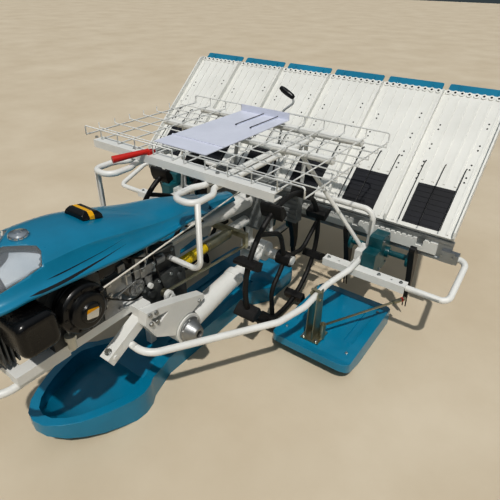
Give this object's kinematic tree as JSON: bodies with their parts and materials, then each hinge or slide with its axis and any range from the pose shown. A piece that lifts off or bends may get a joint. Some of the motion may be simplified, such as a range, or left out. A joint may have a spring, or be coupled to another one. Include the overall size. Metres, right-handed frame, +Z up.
{
  "type": "walk-behind rice transplanter",
  "caption": "Walk-behind rice transplanter with engine under a long bonnet, two lugged wheels on swing cases, floats, planting arms, sliding sloped seedling platform, racks and handlebars.",
  "frame": {"origin": "on the ground, midway between the wheels, under their axle, which is at half the length", "axes": "+Z up, -Y forward (the bonnet), +X to the machine's left"},
  "size_m": [1.9302, 2.3702, 0.942],
  "materials": {
    "teal_plastic": "smooth moulded teal plastic",
    "teal_paint": "teal paint",
    "white_paint": "off-white paint on steel tube",
    "grey_paint": "light grey paint on cast cases",
    "dark_cast": "dark grey cast engine metal",
    "cast_aluminium": "cast aluminium",
    "zinc_steel": "zinc-plated steel",
    "rail_aluminium": "extruded aluminium",
    "black_plastic": "matt black plastic",
    "black_metal": "matt black painted sheet",
    "black_rubber": "black rubber",
    "white_plastic": "white moulded plastic",
    "lamp_clear": "silver reflector behind a clear cover",
    "strainer_clear": "translucent bowl",
    "yellow_paint": "yellow paint",
    "red_plastic": "red plastic sleeve",
    "coated_wire": "white coated wire",
    "rope_white": "braided white cord",
    "sheet_steel": "pale grey painted sheet"
  },
  "bodies": {
    "machine": {"centre_float": "teal_plastic", "side_floats": "teal_plastic", "float_link": "white_paint", "float_brackets": "zinc_steel", "engine_block": "cast_aluminium", "muffler_cover": "black_metal", "recoil_starter": "black_plastic", "fuel_strainer": "strainer_clear", "engine_frame": "white_paint", "front_bumper": "white_paint", "bonnet": "teal_plastic", "headlamps": "lamp_clear", "fuel_cap": "zinc_steel", "bonnet_cap": "black_plastic", "transmission_case": "grey_paint", "pivot_covers": "cast_aluminium", "lift_cylinder": "zinc_steel", "cylinder_spring": "yellow_paint", "drive_shaft": "white_paint", "rear_case": "grey_paint", "cross_beam": "grey_paint", "cross_tube": "white_paint", "planting_cases": "teal_paint", "planting_arms": "dark_cast", "gate_rail": "rail_aluminium", "seed_gate": "white_plastic", "handle_frame": "white_paint", "handle_grips": "black_rubber", "rear_panel": "black_plastic", "side_guards": "white_paint", "float_beams": "white_paint", "rack_loops": "white_paint", "rack_bars": "white_paint", "baskets": "coated_wire", "rack_plate": "sheet_steel", "gear_lever": "black_plastic", "brake_lever": "red_plastic", "starter_rope": "rope_white"},
    "platform": {"platform_panel": "white_plastic", "mat_belts": "black_rubber", "extension_tabs": "teal_plastic", "press_rods": "zinc_steel", "platform_frame": "grey_paint"},
    "swing_left": {"swing_case_left": "white_paint"},
    "swing_right": {"swing_case_right": "white_paint"},
    "wheel_body_left": {"wheel_left": "black_rubber"},
    "wheel_body_right": {"wheel_right": "black_rubber"},
    "marker_body_left": {"marker_left": "zinc_steel"},
    "marker_body_right": {"marker_right": "zinc_steel"}
  },
  "joints": [
    {"name": "swing_left", "type": "hinge", "parent": "machine", "child": "swing_left", "pos_m": [0.178, -0.52, 0.25], "axis": [1, 0, 0], "range_deg": [-18, 3]},
    {"name": "wheel_left", "type": "hinge", "parent": "swing_left", "child": "wheel_body_left", "pos_m": [0.3, 0, 0.33], "axis": [1, 0, 0], "continuous": true},
    {"name": "swing_right", "type": "hinge", "parent": "machine", "child": "swing_right", "pos_m": [-0.178, -0.52, 0.25], "axis": [1, 0, 0], "range_deg": [-18, 3]},
    {"name": "wheel_right", "type": "hinge", "parent": "swing_right", "child": "wheel_body_right", "pos_m": [-0.3, 0, 0.33], "axis": [1, 0, 0], "continuous": true},
    {"name": "platform_slide", "type": "slide", "parent": "machine", "child": "platform", "axis": [1, 0, 0], "range_m": [-0.12, 0.16]},
    {"name": "marker_left", "type": "hinge", "parent": "machine", "child": "marker_body_left", "pos_m": [0.558, -0.104, 0.157], "axis": [0, 0, 1], "range_deg": [-100, 0]},
    {"name": "marker_right", "type": "hinge", "parent": "machine", "child": "marker_body_right", "pos_m": [-0.558, -0.104, 0.157], "axis": [0, 0, 1], "range_deg": [0, 100]}
  ]
}
